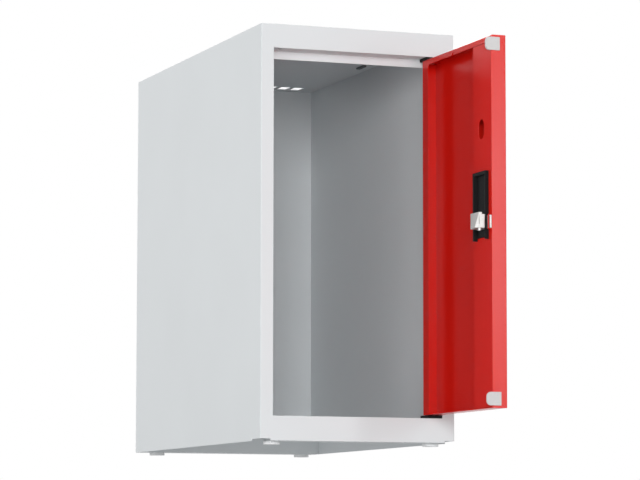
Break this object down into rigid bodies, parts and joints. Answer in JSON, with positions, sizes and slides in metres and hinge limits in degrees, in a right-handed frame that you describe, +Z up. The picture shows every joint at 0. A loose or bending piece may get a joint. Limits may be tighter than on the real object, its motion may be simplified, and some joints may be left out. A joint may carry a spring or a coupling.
{
  "type": "locker",
  "caption": "Small upright sheet-steel locker with one compartment, air slots in the roof and an inset lockable door that swings on corner pins, standing on round feet.",
  "frame": {"origin": "on the ground plane under the feet, below the middle of the carcass", "axes": "+X to the right seen from the front, +Y from the front to the back, +Z up"},
  "size_m": [0.25, 0.7006, 0.504],
  "materials": {
    "grey_powder_coat": "fine orange-peel powder coat, satin",
    "red_powder_coat": "fine orange-peel powder coat, satin",
    "grey_plastic": "moulded, matt",
    "black_plastic": "moulded, matt",
    "zinc_steel": "bright zinc plate",
    "nickel": "nickel plate, polished"
  },
  "bodies": {
    "carcass": {"left_side_panel": "grey_powder_coat", "right_side_panel": "grey_powder_coat", "back_panel": "grey_powder_coat", "top_panel": "grey_powder_coat", "bottom_front_rail": "grey_powder_coat", "rear_base_rail": "grey_powder_coat", "floor_panel": "grey_powder_coat", "foot_front_left": "grey_plastic", "foot_front_right": "grey_plastic", "foot_rear_left": "grey_plastic", "foot_rear_right": "grey_plastic", "ceiling_clip_left": "black_plastic", "ceiling_clip_right": "black_plastic", "hinge_block_top": "black_plastic", "hinge_block_bottom": "black_plastic", "hinge_pin_top": "zinc_steel", "hinge_pin_bottom": "zinc_steel", "hinge_screws": "zinc_steel"},
    "door": {"door_pan": "red_powder_coat", "lock_stiffener": "red_powder_coat", "hinge_bearing_top": "red_powder_coat", "hinge_bearing_bottom": "red_powder_coat", "bumper_top": "grey_plastic", "bumper_bottom": "grey_plastic", "lock_case": "black_plastic", "cylinder_housing": "nickel", "cylinder_nut": "zinc_steel"},
    "lock_plug": {"cylinder_plug": "nickel", "drive_crank": "zinc_steel"},
    "bolt": {"bolt_bar": "zinc_steel", "bolt_block": "zinc_steel", "bolt_rivet": "zinc_steel"}
  },
  "joints": [
    {"name": "door_hinge", "type": "hinge", "parent": "carcass", "child": "door", "pos_m": [0.1004, -0.2438, 0.255], "axis": [0, 0, 1], "range_deg": [-90, 10]},
    {"name": "plug_turn", "type": "hinge", "parent": "door", "child": "lock_plug", "pos_m": [0.1066, -0.4234, 0.2583], "axis": [-1, 0, 0], "range_deg": [0, 90]},
    {"name": "bolt_slide", "type": "slide", "parent": "door", "child": "bolt", "axis": [0, -1, 0], "range_m": [0, 0.009]}
  ],
  "couplings": [
    {"joint": "plug_turn", "follows": "bolt_slide", "rad_per_m": 174.53}
  ]
}
